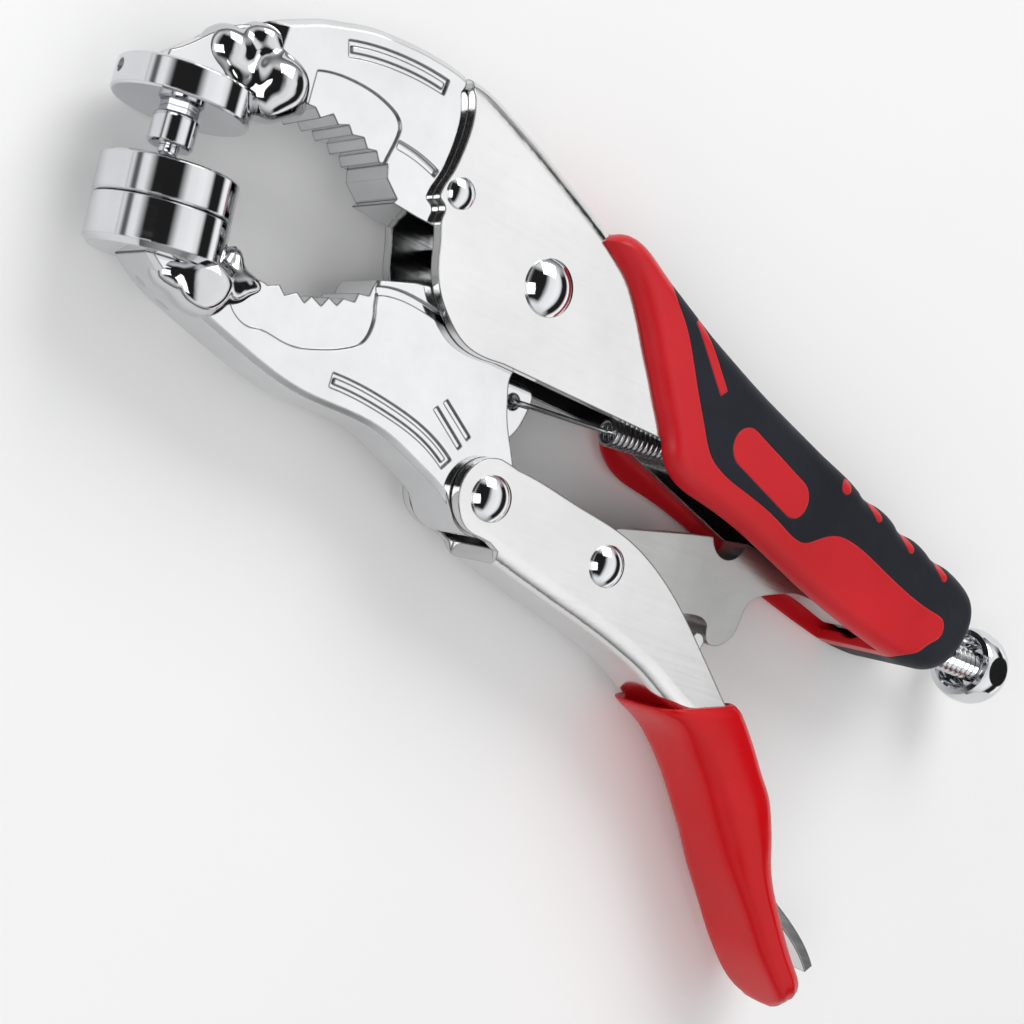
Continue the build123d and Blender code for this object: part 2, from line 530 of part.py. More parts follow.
# ------------------------------------------------------------------ grip
grip_out = [
    ("s", [(8.0, 11.6), (9.4, 13.2), (11.2, 14.2), (13.8, 14.5), (16.9, 13.8), (20.4, 12.3), (24.2, 10.6), (27.8, 9.2), (35.2, 6.3), (42.7, 3.8),
           (50.3, 1.4), (57.9, -0.7), (65.7, -2.7), (73.8, -4.7), (80.0, -6.1), (84.2, -7.4)]),
    ("s", [(84.2, -7.4), (87.0, -8.5), (90.6, -8.7), (94.7, -9.4), (97.2, -10.4)]),
    ("s", [(97.2, -10.4), (99.4, -11.4), (103.4, -11.5), (107.0, -12.1), (109.6, -13.0)]),
    ("s", [(109.6, -13.0), (112.0, -13.7), (116.0, -13.9), (120.0, -14.7), (123.6, -15.9), (126.5, -17.6), (128.3, -20.2), (128.8, -24.0), (127.4, -28.7),
           (124.0, -33.0), (119.4, -35.2), (112.5, -35.7), (106.0, -35.3), (100.0, -34.4)]),
    ("s", [(100.0, -34.4), (90.0, -32.6), (78.0, -29.9), (66.0, -26.6), (54.0, -23.6), (46.0, -22.3), (39.0, -21.0), (35.0, -18.6), (33.2, -15.8)]),
    ("s", [(33.2, -15.8), (31.6, -13.0), (29.2, -9.9), (26.6, -6.4), (23.6, -2.6), (20.8, 1.2), (18.0, 4.6), (15.6, 7.0), (12.4, 9.0), (8.0, 11.6)]),
]
def draw(segs):
    for kind, pts in segs:
        if kind == "s":
            Spline(*pts)
        else:
            Polyline(*pts)

with BuildPart() as grip_outer:
    with BuildSketch(pl(-GRIP_T)):
        with BuildLine():
            draw(grip_out)
        make_face()
    extrude(amount=2 * GRIP_T)
    ease(grip_outer, grip_outer.edges().filter_by(Plane.XY).filter_by(lambda e: e.length > 0.5), (3.4, 2.8, 2.2, 1.6, 1.0))

black_edge = [(23.4, 12.6), (23.8, 8.9), (27.4, 5.2), (30.9, 1.1), (35.0, -4.8), (39.3, -10.6), (42.5, -14.4), (45.5, -16.0), (53.0, -17.7), (64.0, -20.2),
              (68.4, -21.6), (71.4, -21.8), (75.5, -19.8), (80.1, -17.9), (84.4, -17.8), (94.3, -19.9), (105.4, -22.6), (114.5, -23.9), (118.1, -25.0),
              (118.6, -27.2), (115.5, -30.2), (112.7, -32.6), (108.6, -34.6), (106.0, -39.0)]
with BuildPart() as overmould_zone:
    with BuildSketch(pl(-GRIP_T - 2)):
        with BuildLine():
            Spline(*black_edge)
            Polyline((106.0, -39.0), (150.0, -39.0), (150.0, 30.0), (23.4, 30.0), (23.4, 12.6))
        make_face()
        # windows through which the red core shows
        with Locations((58.3, -12.5)):
            SlotOverall(23.5, 7.4, rotation=-17.0, mode=Mode.SUBTRACT)
        with Locations((78.9, -8.4)):
            Circle(1.5, mode=Mode.SUBTRACT)
    extrude(amount=2 * GRIP_T + 4)
    with BuildSketch(pl(-GRIP_T - 2)):
        with BuildLine():
            Line((31.0, 6.6), (41.2, -3.2))
        trace(line_width=1.9)
        for c, r in (((89.2, -10.2), -38), ((101.0, -13.1), -38), ((113.4, -15.5), -38)):
            with Locations(c):
                SlotOverall(4.6, 2.0, rotation=r)
    extrude(amount=2 * GRIP_T + 4, mode=Mode.SUBTRACT)

with BuildPart() as core_zone:
    with BuildSketch(pl(-GRIP_T + 1.6)):
        with BuildLine():
            Spline((18.0, 11.6), (24.2, 8.7), (31.3, 5.9), (39.0, 3.1), (46.4, 0.7), (54.1, -1.6), (61.8, -3.7), (69.7, -5.7), (77.7, -7.6), (85.6, -9.9), (92.0, -11.0),
                   (98.4, -12.8), (104.6, -13.6), (111.0, -15.4), (117.0, -16.4), (121.8, -18.0), (125.0, -20.8), (126.2, -24.4), (125.0, -28.0),
                   (122.2, -31.2), (117.6, -33.4), (110.0, -33.8), (98.0, -32.0))
            Polyline((98.0, -32.0), (60.0, -45.0), (18.0, -45.0), (18.0, 11.6))
        make_face()
    extrude(amount=2 * GRIP_T - 3.2)
    ease(core_zone, core_zone.edges().filter_by(GeomType.BSPLINE).filter_by(lambda e: e.length > 100), (2.4, 1.8, 1.0))

# the channel's own room, open through the bottom slot
with BuildPart() as channel_room:
    with BuildSketch(pl(-CH_OUT)):
        with BuildLine():
            Spline(*spine)
            Polyline((121.5, -20.6), (121.5, -33.2), (112.0, -33.0), (104.0, -32.95), (104.0, -50.0), (-24.9, -50.0), (-24.9, 22.6), spine[0])
        make_face()
    extrude(amount=2 * CH_OUT)
    ease(channel_room, channel_room.edges().filter_by(GeomType.BSPLINE).filter_by(lambda e: e.length > 130), (3.6, 3.0, 2.0, 1.0))

with BuildPart() as end_bore:
    with BuildSketch(screw_plane(103.0)):
        Circle(4.4)
    extrude(amount=30.0)

with BuildPart() as grip_overmould:
    add(grip_outer.part)
    add(overmould_zone.part, mode=Mode.INTERSECT)
    add(core_zone.part, mode=Mode.SUBTRACT)
    add(channel_room.part, mode=Mode.SUBTRACT)
    add(end_bore.part, mode=Mode.SUBTRACT)
save(grip_overmould, "grip_overmould")

with BuildPart() as grip_core:
    add(grip_outer.part)
    add(grip_overmould.part, mode=Mode.SUBTRACT)
    add(channel_room.part, mode=Mode.SUBTRACT)
    add(end_bore.part, mode=Mode.SUBTRACT)
save(grip_core, "grip_core")

# ------------------------------------------------------------------ screw
SCR_R = 3.4
with BuildPart() as thread_nut:
    with BuildSketch(screw_plane(108.5)):
        with Locations((1.9, 0)):
            Rectangle(8.0, 2 * CH_IN)
        Circle(SCR_R + 0.06, mode=Mode.SUBTRACT)
    extrude(amount=12.5)
save(thread_nut, "thread_nut")

TIP_X, KNOB_X = 104.2, 141.4          # screw tip, rim of the knob
THREAD_X, PITCH = 123.5, 1.75         # start of the open thread, its pitch
BALL_X, BALL_R, CUP_X = 145.2, 8.3, 146.6
with BuildPart() as screw_shank:
    with BuildSketch(Plane(origin=(AX, AY + SCREW_Y, ZM), x_dir=(1, 0, 0), z_dir=(0, 0, 1))):
        with BuildLine():
            Polyline((TIP_X, 0), (TIP_X, 2.2), (TIP_X + 1.0, SCR_R - 0.5), (TIP_X + 1.6, SCR_R), (THREAD_X, SCR_R))
            pts = [(THREAD_X, SCR_R)]
            x = THREAD_X
            while x < CUP_X - 1.8:
                pts += [(x + 0.60, SCR_R - 0.75), (x + 0.90, SCR_R - 0.75), (x + 1.50, SCR_R), (x + PITCH, SCR_R)]
                x += PITCH
            Polyline(*pts)
            Polyline(pts[-1], (CUP_X - 0.05, SCR_R), (CUP_X - 0.05, 2.4), (CUP_X + 4.4, 2.4), (CUP_X + 4.4, 0), (TIP_X, 0))
        make_face()
    revolve(axis=Axis((AX, AY + SCREW_Y, ZM), (1, 0, 0)), revolution_arc=360)
save(screw_shank, "screw_shank")

# ball knob: hollow inner end, six shallow flats round it
rim = (BALL_R ** 2 - (BALL_X - KNOB_X) ** 2) ** 0.5
with BuildPart() as screw_knob:
    with BuildSketch(Plane(origin=(AX, AY + SCREW_Y, ZM), x_dir=(1, 0, 0), z_dir=(0, 0, 1))):
        with BuildLine():
            Polyline((CUP_X, 2.46), (CUP_X, 4.3), (CUP_X - 0.6, 4.9), (KNOB_X + 0.5, 5.7), (KNOB_X, 6.1), (KNOB_X, rim))
            ThreePointArc((KNOB_X, rim), (BALL_X + BALL_R * cos(radians(60)), BALL_R * sin(radians(60))), (BALL_X + BALL_R, 0))
            Polyline((BALL_X + BALL_R, 0), (CUP_X + 4.5, 0), (CUP_X + 4.5, 2.46), (CUP_X, 2.46))
        make_face()
    revolve(axis=Axis((AX, AY + SCREW_Y, ZM), (1, 0, 0)), revolution_arc=360)
    with BuildSketch(screw_plane(KNOB_X - 2)):
        RegularPolygon(radius=7.65, side_count=6, major_radius=False)
    extrude(amount=20.0, mode=Mode.INTERSECT)
save(screw_knob, "screw_knob")

names = {k: v for k, v in dict(upper_jaw=upper_jaw, lower_jaw=lower_jaw, handle_channel=handle_channel, grip_core=grip_core,
         grip_overmould=grip_overmould, lever_channel=lever_channel, lever_sleeve=lever_sleeve, release_lever=release_lever,
         toggle_link=toggle_link, screw_knob=screw_knob, upper_anvil_disc=upper_anvil_disc, lower_anvil_base=lower_anvil_base).items()}
lo = [1e9] * 3; hi = [-1e9] * 3
for k, v in names.items():
    b = v.part.bounding_box()
    print(k, "solids", len(v.part.solids()), "vol %.0f" % v.part.volume, [round(x, 2) for x in (*b.min, *b.max)])
    lo = [min(a, c) for a, c in zip(lo, b.min)]; hi = [max(a, c) for a, c in zip(hi, b.max)]
print("bbox", [round(x, 2) for x in lo], [round(x, 2) for x in hi], "centre", round((lo[0] + hi[0]) / 2, 3), round((lo[1] + hi[1]) / 2, 3))
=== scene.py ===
import bpy, bmesh, json
from math import sin, cos, radians, pi, sqrt, atan2, hypot
from mathutils import Vector, Matrix, noise


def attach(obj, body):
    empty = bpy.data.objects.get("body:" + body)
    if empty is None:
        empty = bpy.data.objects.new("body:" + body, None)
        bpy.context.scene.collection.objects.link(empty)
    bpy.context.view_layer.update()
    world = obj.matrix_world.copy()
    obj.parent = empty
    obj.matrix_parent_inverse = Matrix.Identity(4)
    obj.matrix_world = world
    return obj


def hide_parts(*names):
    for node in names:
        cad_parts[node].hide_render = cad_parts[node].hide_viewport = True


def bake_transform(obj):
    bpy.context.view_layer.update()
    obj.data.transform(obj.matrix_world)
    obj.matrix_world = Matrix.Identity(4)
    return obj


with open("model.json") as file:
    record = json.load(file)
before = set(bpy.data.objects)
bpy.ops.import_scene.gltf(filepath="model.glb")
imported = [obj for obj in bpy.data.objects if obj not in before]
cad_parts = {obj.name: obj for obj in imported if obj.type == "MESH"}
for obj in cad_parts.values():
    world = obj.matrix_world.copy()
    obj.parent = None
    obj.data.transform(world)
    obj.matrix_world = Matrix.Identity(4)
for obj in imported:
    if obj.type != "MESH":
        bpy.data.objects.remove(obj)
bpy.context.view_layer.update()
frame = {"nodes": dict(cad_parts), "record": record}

nodes = frame["nodes"]
scene = bpy.context.scene

# main pivot in the part frame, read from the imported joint
pivot = [jt for jt in frame["record"]["behaviour"]["joints"] if jt["name"] == "jaw_pivot"][0]["pos_m"]
AX, AY, ZM = (v * 1000 for v in pivot)


def P(x, y, z=0.0):
    """Millimetres from the main pivot and the mid plane -> metres in the part frame."""
    return Vector(((x + AX) / 1000, (y + AY) / 1000, (z + ZM) / 1000))


# ------------------------------------------------------------------ camera
cam_data = bpy.data.cameras.new("Camera")
cam_data.lens = 56.25
cam_data.sensor_width = 36.0
cam_data.clip_start = 0.01
cam_data.clip_end = 20.0
cam = bpy.data.objects.new("Camera", cam_data)
scene.collection.objects.link(cam)
rgt, upv, bck = Vector((0.741848, 0.297481, 0.600972)), Vector((-0.296022, 0.949441, -0.10456)), Vector((-0.601692, -0.100334, 0.792402))
m = Matrix.Identity(4)
for i in range(3):
    m[i][0], m[i][1], m[i][2] = rgt[i], upv[i], bck[i]
m[0][3], m[1][3], m[2][3] = P(-150.175, -62.452, 214.260)
cam.matrix_world = m
scene.camera = cam
scene.view_settings.view_transform = "Standard"


# ------------------------------------------------------------------ node helpers
class Mat:
    def __init__(self, name):
        self.m = bpy.data.materials.new(name)
        self.m.use_nodes = True
        self.t = self.m.node_tree
        self.t.nodes.clear()
        self.out = self.n("ShaderNodeOutputMaterial")
        self.b = self.n("ShaderNodeBsdfPrincipled")
        self.link(self.b, "BSDF", self.out, "Surface")

    def n(self, kind, **kw):
        nd = self.t.nodes.new(kind)
        for k, v in kw.items():
            setattr(nd, k, v)
        return nd

    def link(self, a, ao, b, bi):
        self.t.links.new(a.outputs[ao], b.inputs[bi])

    def coords(self, scale=(1, 1, 1), rot=(0, 0, 0)):
        tc = self.n("ShaderNodeTexCoord")
        mp = self.n("ShaderNodeMapping")
        mp.inputs["Scale"].default_value = scale
        mp.inputs["Rotation"].default_value = rot
        self.link(tc, "Object", mp, "Vector")
        return mp

    def noise(self, co, scale, detail=4.0, rough=0.5, distortion=0.0):
        nz = self.n("ShaderNodeTexNoise")
        nz.inputs["Scale"].default_value = scale
        nz.inputs["Detail"].default_value = detail
        nz.inputs["Roughness"].default_value = rough
        nz.inputs["Distortion"].default_value = distortion
        self.link(co, "Vector", nz, "Vector")
        return nz

    def ramp(self, src, out, stops):
        rp = self.n("ShaderNodeValToRGB")
        e = rp.color_ramp.elements
        while len(e) < len(stops):
            e.new(0.5)
        for k, (p, c) in enumerate(stops):
            e[k].position = p
            e[k].color = c if len(c) == 4 else (*c, 1)
        self.link(src, out, rp, "Fac")
        return rp

    def mapr(self, src, out, a, b, c, d):
        mr = self.n("ShaderNodeMapRange")
        mr.inputs["From Min"].default_value = a
        mr.inputs["From Max"].default_value = b
        mr.inputs["To Min"].default_value = c
        mr.inputs["To Max"].default_value = d
        self.link(src, out, mr, "Value")
        return mr

    def math(self, op, a, ao, b=None, bo=None, val=None):
        mt = self.n("ShaderNodeMath", operation=op)
        self.link(a, ao, mt, 0)
        if b is not None:
            self.link(b, bo, mt, 1)
        elif val is not None:
            mt.inputs[1].default_value = val
        return mt

    def edge(self, radius, samples=4, line=0.0):
        """(bevel node, edge mask 0..1): rounded normals near real edges, and how far they turn."""
        bv = self.n("ShaderNodeBevel", samples=samples)
        bv.inputs["Radius"].default_value = radius
        if line:
            b2 = self.n("ShaderNodeBevel", samples=8)
            b2.inputs["Radius"].default_value = line
            g2 = self.n("ShaderNodeNewGeometry")
            d2 = self.n("ShaderNodeVectorMath", operation="DOT_PRODUCT")
            self.link(b2, "Normal", d2, 0)
            self.link(g2, "Normal", d2, 1)
            return bv, self.mapr(d2, "Value", 0.985, 0.84, 0.0, 1.0)
        ge = self.n("ShaderNodeNewGeometry")
        dt = self.n("ShaderNodeVectorMath", operation="DOT_PRODUCT")
        self.link(bv, "Normal", dt, 0)
        self.link(ge, "Normal", dt, 1)
        return bv, self.mapr(dt, "Value", 0.97, 0.72, 0.0, 1.0)

    def mixc(self, fac, fo, a, b, mode="MIX"):
        mx = self.n("ShaderNodeMix", data_type="RGBA", blend_type=mode)
        self.link(fac, fo, mx, 0)
        for idx, v in ((6, a), (7, b)):
            if isinstance(v, tuple) and not hasattr(v[0], "outputs"):
                mx.inputs[idx].default_value = (*v, 1) if len(v) == 3 else v
            else:
                self.t.links.new(v[0].outputs[v[1]], mx.inputs[idx])
        return mx

    def bump(self, heights, normal=None):
        """heights: list of (node, output, strength, distance)."""
        prev = normal
        for nd, o, s, d in heights:
            bp = self.n("ShaderNodeBump")
            bp.inputs["Strength"].default_value = s
            bp.inputs["Distance"].default_value = d
            self.link(nd, o, bp, "Height")
            if prev is not None:
                self.link(prev[0], prev[1], bp, "Normal")
            prev = (bp, "Normal")
        return prev


def chrome(name, wave=0.0, wave_scale=60, rough=(0.03, 0.08), tint=(0.80, 0.81, 0.83), bevel=0.00035, painted_edge_shade=0.45, scratch=0.25, line=0.0):
    """Bright plating: faint cloudiness, hairline scratches, a painted dark shade line along edges and creases where the
    edges also turn rougher, optional forging wave.
    """
    M = Mat(name)
    co = M.coords()
    cloud = M.noise(co, 90, 5, 0.6)
    fine = M.noise(co, 900, 3, 0.5)
    hair = M.noise(M.coords((40, 900, 200), (0.3, 0.5, 0.9)), 1.0, 2, 0.7)
    bv, em = M.edge(bevel, line=line)
    base = M.ramp(cloud, "Fac", [(0.3, tuple(c * 0.93 for c in tint)), (0.7, tuple(min(1, c * 1.04) for c in tint))])
    # painted shade: edges and creases found by the bevel mask are mixed toward near black
    ed = M.math("MULTIPLY", em, "Result", val=painted_edge_shade)
    col = M.mixc(ed, "Value", (base, "Color"), (0.045, 0.047, 0.052))
    M.t.links.new(col.outputs[2], M.b.inputs["Base Color"])
    M.b.inputs["Metallic"].default_value = 1.0
    r1 = M.mapr(fine, "Fac", 0.3, 0.75, rough[0], rough[1])
    r2 = M.mapr(hair, "Fac", 0.62, 0.72, 0.0, 0.10 * scratch * 2)
    r3 = M.math("ADD", r1, "Result", r2, "Result")
    r4 = M.math("MULTIPLY", em, "Result", val=0.12)
    rr = M.math("ADD", r3, "Value", r4, "Value")
    M.link(rr, "Value", M.b, "Roughness")
    hs = [(hair, "Fac", 0.02 * scratch, 0.0002)]
    if wave:
        wv = M.noise(co, wave_scale, 2, 0.4)
        hs.insert(0, (wv, "Fac", wave, 0.004))
    nn = M.bump(hs, (bv, "Normal"))
    M.link(nn[0], nn[1], M.b, "Normal")
    return M.m


def sheet_metal(name, tint=(0.735, 0.735, 0.735), rough=(0.10, 0.17), wave=0.08, bevel=0.0004):
    """Pressed and plated sheet: slight drawing grain, shallow press waviness, painted dark shade lines along folded
    edges and creases.
    """
    M = Mat(name)
    co = M.coords()
    grain = M.noise(M.coords((60, 1500, 400), (0, 0, radians(-18))), 1.0, 3, 0.6)
    cloud = M.noise(co, 45, 4, 0.6)
    wv = M.noise(co, 28, 1, 0.3)
    speck = M.noise(co, 1600, 2, 0.5)
    bv, em = M.edge(bevel, line=0.0006)
    base = M.ramp(cloud, "Fac", [(0.3, tuple(c * 0.92 for c in tint)), (0.72, tuple(min(1, c * 1.05) for c in tint))])
    # painted shade: edges and creases found by the bevel mask are mixed toward near black
    ed = M.math("MULTIPLY", em, "Result", val=0.8)
    col = M.mixc(ed, "Value", (base, "Color"), (0.04, 0.042, 0.047))
    M.t.links.new(col.outputs[2], M.b.inputs["Base Color"])
    M.b.inputs["Metallic"].default_value = 1.0
    r1 = M.mapr(grain, "Fac", 0.35, 0.7, rough[0], rough[1])
    r2 = M.mapr(speck, "Fac", 0.6, 0.75, 0.0, 0.05)
    r3 = M.math("ADD", r1, "Result", r2, "Result")
    r4 = M.math("MULTIPLY", em, "Result", val=0.10)
    rr = M.math("ADD", r3, "Value", r4, "Value")
    M.link(rr, "Value", M.b, "Roughness")
    nn = M.bump([(wv, "Fac", wave, 0.003), (grain, "Fac", 0.05, 0.0002)], (bv, "Normal"))
    M.link(nn[0], nn[1], M.b, "Normal")
    return M.m


def satin(name, tint=(0.54, 0.54, 0.53), rough=(0.27, 0.36), bevel=0.0003):
    M = Mat(name)
    grain = M.noise(M.coords((90, 2600, 600), (0, 0, radians(-3))), 1.0, 3, 0.65)
    cloud = M.noise(M.coords(), 60, 5, 0.6)
    bv, em = M.edge(bevel)
    base = M.ramp(cloud, "Fac", [(0.28, tuple(c * 0.88 for c in tint)), (0.72, tuple(min(1, c * 1.08) for c in tint))])
    # painted shade: edges and creases found by the bevel mask are mixed toward near black
    ed = M.math("MULTIPLY", em, "Result", val=0.7)
    col = M.mixc(ed, "Value", (base, "Color"), (0.05, 0.05, 0.055))
    M.t.links.new(col.outputs[2], M.b.inputs["Base Color"])
    M.b.inputs["Metallic"].default_value = 1.0
    r1 = M.mapr(grain, "Fac", 0.3, 0.7, rough[0], rough[1])
    M.link(r1, "Result", M.b, "Roughness")
    nn = M.bump([(grain, "Fac", 0.12, 0.0002), (cloud, "Fac", 0.03, 0.001)], (bv, "Normal"))
    M.link(nn[0], nn[1], M.b, "Normal")
    return M.m


def plastic(name, lo, hi, edge_col, rough=(0.28, 0.38), grain_scale=1800, grain=0.08, bevel=0.0006, coat=0.0, spec=0.5, edge_amt=0.35, wave=0.0, coat_rough=0.1):
    """Moulded part: slight colour drift, orange-peel skin, rubbed edges."""
    M = Mat(name)
    co = M.coords()
    cloud = M.noise(co, 40, 4, 0.55)
    skin = M.noise(co, grain_scale, 3, 0.6)
    rub = M.noise(co, 220, 5, 0.65)
    bv, em = M.edge(bevel)
    base = M.ramp(cloud, "Fac", [(0.3, lo), (0.7, hi)])
    wear = M.mapr(rub, "Fac", 0.35, 0.7, 0.15, 1.0)
    em2 = M.math("MULTIPLY", em, "Result", wear, "Result")
    ed = M.math("MULTIPLY", em2, "Value", val=edge_amt)
    col = M.mixc(ed, "Value", (base, "Color"), edge_col)
    M.t.links.new(col.outputs[2], M.b.inputs["Base Color"])
    r1 = M.mapr(rub, "Fac", 0.3, 0.72, rough[0], rough[1])
    M.link(r1, "Result", M.b, "Roughness")
    M.b.inputs["Specular IOR Level"].default_value = spec
    if coat:
        M.b.inputs["Coat Weight"].default_value = coat
        M.b.inputs["Coat Roughness"].default_value = coat_rough
    hs = [(skin, "Fac", grain, 0.0003)]
    if wave:
        wv = M.noise(co, 55, 1, 0.4)
        hs.insert(0, (wv, "Fac", wave, 0.004))
    nn = M.bump(hs, (bv, "Normal"))
    M.link(nn[0], nn[1], M.b, "Normal")
    return M.m


MAT_JAW = chrome("chrome_forged_jaw", wave=0.07, wave_scale=70, rough=(0.05, 0.10), tint=(0.73, 0.735, 0.745), bevel=0.0004, painted_edge_shade=0.85, line=0.0006)
# the tint darker than the jaw chrome of the same forging is painted shade, and a faint painted dark shade line follows
# its edges
MAT_KNUCKLE = chrome("chrome_forged_knuckle", wave=0.05, wave_scale=80, rough=(0.04, 0.09), tint=(0.60, 0.605, 0.62), bevel=0.0001, painted_edge_shade=0.1)
MAT_DISC = chrome("chrome_turned_disc", wave=0.0, rough=(0.03, 0.06), tint=(0.68, 0.69, 0.71), bevel=0.0003, painted_edge_shade=0.4, scratch=0.15)
MAT_RIVET = chrome("chrome_rivet", wave=0.03, wave_scale=160, rough=(0.03, 0.06), tint=(0.70, 0.71, 0.73), bevel=0.0003, painted_edge_shade=0.6)
MAT_SCREW = chrome("chrome_screw", wave=0.0, rough=(0.04, 0.08), tint=(0.70, 0.71, 0.73), bevel=0.0002, painted_edge_shade=0.2)
MAT_SHEET = sheet_metal("bright_sheet_plate")
MAT_LINK = satin("satin_link")
MAT_PIN = satin("satin_pin", tint=(0.45, 0.45, 0.45), rough=(0.30, 0.42))
MAT_SPRING = satin("spring_wire", tint=(0.40, 0.40, 0.41), rough=(0.18, 0.26), bevel=0.0001)
MAT_RED = plastic("red_moulded", (0.53, 0.004, 0.009), (0.63, 0.008, 0.016), (0.78, 0.05, 0.05), rough=(0.30, 0.40), grain=0.04, spec=0.32, edge_amt=0.22)
MAT_BLACK = plastic("black_overmould", (0.008, 0.010, 0.015), (0.015, 0.018, 0.026), (0.055, 0.06, 0.07), rough=(0.48, 0.62), grain_scale=2600, grain=0.20, spec=0.17, edge_amt=0.5)
MAT_VINYL = plastic("red_dipped_vinyl", (0.53, 0.001, 0.003), (0.63, 0.002, 0.007), (0.80, 0.03, 0.035), rough=(0.20, 0.28), grain_scale=700, grain=0.02, bevel=0.0005, coat=0.06, wave=0.05, coat_rough=0.16, spec=0.20)


def finish_node(name, mat):
    o = nodes[name]
    if not o.data.materials:
        o.data.materials.append(mat)
    for i in range(len(o.data.materials)):
        o.data.materials[i] = mat


for nm, mt in dict(
    upper_jaw=MAT_JAW, lower_jaw=MAT_JAW, upper_anvil_disc=MAT_DISC, punch=MAT_DISC, punch_set_screw=MAT_PIN, snap_die=MAT_DISC,
    die_stud=MAT_PIN, lower_anvil_base=MAT_DISC, handle_channel=MAT_SHEET, lever_channel=MAT_SHEET, front_jaw_rivet=MAT_RIVET,
    main_pivot_rivet=MAT_RIVET, lever_pivot_rivet=MAT_RIVET, link_pivot_rivet=MAT_RIVET, release_pin=MAT_PIN, toggle_link=MAT_LINK,
    release_lever=MAT_SHEET, spring_anchor_pin=MAT_PIN, grip_overmould=MAT_BLACK, grip_core=MAT_RED, thread_nut=MAT_PIN,
    screw_shank=MAT_SCREW, screw_knob=MAT_SCREW, lever_sleeve=MAT_VINYL, tension_spring=MAT_SPRING,
).items():
    finish_node(nm, mt)


# ------------------------------------------------------------------ mesh helpers
def add_mesh(name, verts, faces, mat, smooth=True):
    me = bpy.data.meshes.new(name)
    me.from_pydata([tuple(v) for v in verts], [], faces)
    me.validate()
    bm = bmesh.new()
    bm.from_mesh(me)
    bmesh.ops.remove_doubles(bm, verts=bm.verts, dist=1e-7)
    bmesh.ops.recalc_face_normals(bm, faces=bm.faces)
    bm.to_mesh(me)
    bm.free()
    for p in me.polygons:
        p.use_smooth = smooth
    o = bpy.data.objects.new(name, me)
    scene.collection.objects.link(o)
    me.materials.append(mat)
    return o


def catmull(pts, n):
    """n+1 points on a smooth curve through pts, evenly by chord length."""
    pts = [Vector(p) for p in pts]
    q = [pts[0] * 2 - pts[1]] + pts + [pts[-1] * 2 - pts[-2]]
    dense = []
    for i in range(1, len(q) - 2):
        for k in range(24):
            t = k / 24
            a, b, c, d = q[i - 1], q[i], q[i + 1], q[i + 2]
            dense.append(0.5 * ((2 * b) + (c - a) * t + (2 * a - 5 * b + 4 * c - d) * t * t + (3 * b - a - 3 * c + d) * t ** 3))
    dense.append(pts[-1])
    s = [0.0]
    for a, b in zip(dense, dense[1:]):
        s.append(s[-1] + (b - a).length)
    out, j = [], 0
    for k in range(n + 1):
        t = s[-1] * k / n
        while j < len(s) - 2 and s[j + 1] < t:
            j += 1
        w = (t - s[j]) / max(s[j + 1] - s[j], 1e-12)
        out.append(dense[j].lerp(dense[j + 1], w))
    return out


def tube(name, path, r, mat, sides=12):
    """Round wire along a list of points, capped at both ends."""
    path = [Vector(p) for p in path]
    verts, faces = [], []
    t0 = (path[1] - path[0]).normalized()
    nrm = t0.orthogonal().normalized()
    for i, p in enumerate(path):
        t = ((path[min(i + 1, len(path) - 1)] - path[max(i - 1, 0)])).normalized()
        nrm = (nrm - t * nrm.dot(t)).normalized()
        bn = t.cross(nrm)
        for k in range(sides):
            a = 2 * pi * k / sides
            verts.append(p + nrm * (r * cos(a)) + bn * (r * sin(a)))
    for i in range(len(path) - 1):
        for k in range(sides):
            a, b = i * sides + k, i * sides + (k + 1) % sides
            faces.append((a, b, b + sides, a + sides))
    faces.append(tuple(range(sides))[::-1])
    faces.append(tuple(range((len(path) - 1) * sides, len(path) * sides)))
    return add_mesh(name, verts, faces, mat)


# ------------------------------------------------------------------ forged knuckles
def knuckle(name, lumps, body, dent=None, uneven=0.16):
    """Irregular forged lump: balls and egg shapes grown together, softened and slightly uneven."""
    bm = bmesh.new()
    for (x, y, z), (rx, ry, rz) in lumps:
        for sg in (1, -1):
            # the far face is flatter, its lumps stay inside the outline
            kz, kr = (1.0, 1.0) if sg > 0 else (0.72, 0.86)
            mt = Matrix.Translation(P(x, y, sg * z * kz)) @ Matrix.Diagonal((rx * kr / 1000, ry * kr / 1000, rz * kz / 1000, 1))
            bmesh.ops.create_icosphere(bm, subdivisions=3, radius=1.0, matrix=mt)
    me = bpy.data.meshes.new(name + "_lumps")
    bm.to_mesh(me)
    bm.free()
    raw = bpy.data.objects.new(name + "_lumps", me)
    scene.collection.objects.link(raw)
    md = raw.modifiers.new("grow", "REMESH")
    md.mode = "VOXEL"
    md.voxel_size = 0.00038
    done = bpy.data.meshes.new_from_object(raw.evaluated_get(bpy.context.evaluated_depsgraph_get()))
    bpy.data.objects.remove(raw)
    bpy.data.meshes.remove(me)
    done.name = name
    bm = bmesh.new()
    bm.from_mesh(done)
    for _ in range(22):
        bmesh.ops.smooth_vert(bm, verts=bm.verts, factor=0.5, use_axis_x=True, use_axis_y=True, use_axis_z=True)
    bm.normal_update()
    mid = P(0, 0, 0)
    for v in bm.verts:
        q = (v.co - mid) * 1000
        v.co += v.normal * (uneven / 1000 * (noise.noise(Vector((q.x, q.y, abs(q.z))) * 0.28)))
        if dent:
            d = hypot(q.x - dent[0], q.y - dent[1])
            if d < dent[2] and abs(q.z) > 4:
                v.co.z -= (1 if q.z > 0 else -1) * dent[3] / 1000 * (1 - (d / dent[2]) ** 2) ** 1.2
    for _ in range(2):
        bmesh.ops.smooth_vert(bm, verts=bm.verts, factor=0.5, use_axis_x=True, use_axis_y=True, use_axis_z=True)
    bm.to_mesh(done)
    bm.free()
    for pg in done.polygons:
        pg.use_smooth = True
    ob = bpy.data.objects.new(name, done)
    scene.collection.objects.link(ob)
    done.materials.clear()
    done.materials.append(MAT_KNUCKLE)
    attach(ob, body)
    return ob


